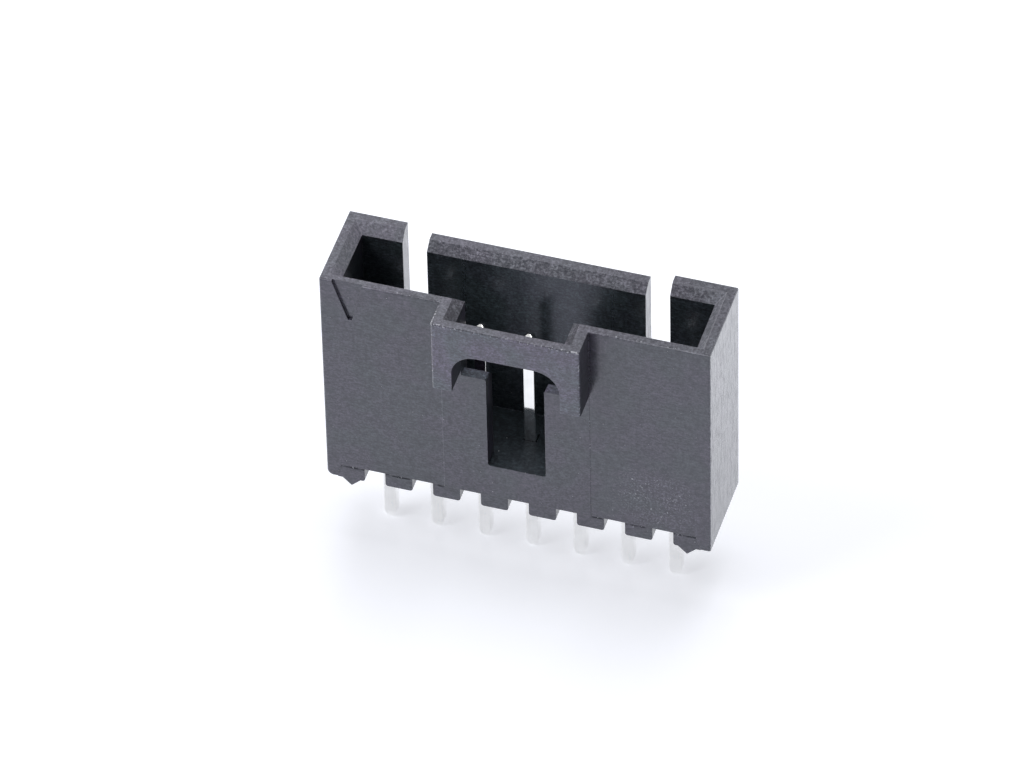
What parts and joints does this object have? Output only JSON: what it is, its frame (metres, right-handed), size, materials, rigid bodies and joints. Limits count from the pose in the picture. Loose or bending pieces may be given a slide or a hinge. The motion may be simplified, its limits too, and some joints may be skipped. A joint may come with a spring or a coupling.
{
  "type": "shrouded pin header",
  "caption": "Tall shrouded single-row board header with square tin-plated pins, a latch strap with an arched window over a slotted wall, and rear keying slots.",
  "frame": {"origin": "middle of the pin row, on the board surface under the standoffs", "axes": "+Z along the pins from the board towards the mating end, +X along the pin row away from pin 1, -Y towards the latch strap"},
  "size_m": [0.0204, 0.0066, 0.0184],
  "materials": {
    "housing_plastic": "fine matte moulded nylon",
    "tin_plate": "bright tin plate"
  },
  "bodies": {
    "root": {"housing": "housing_plastic", "pin_1": "tin_plate", "pin_2": "tin_plate", "pin_3": "tin_plate", "pin_4": "tin_plate", "pin_5": "tin_plate", "pin_6": "tin_plate", "pin_7": "tin_plate"}
  },
  "joints": []
}
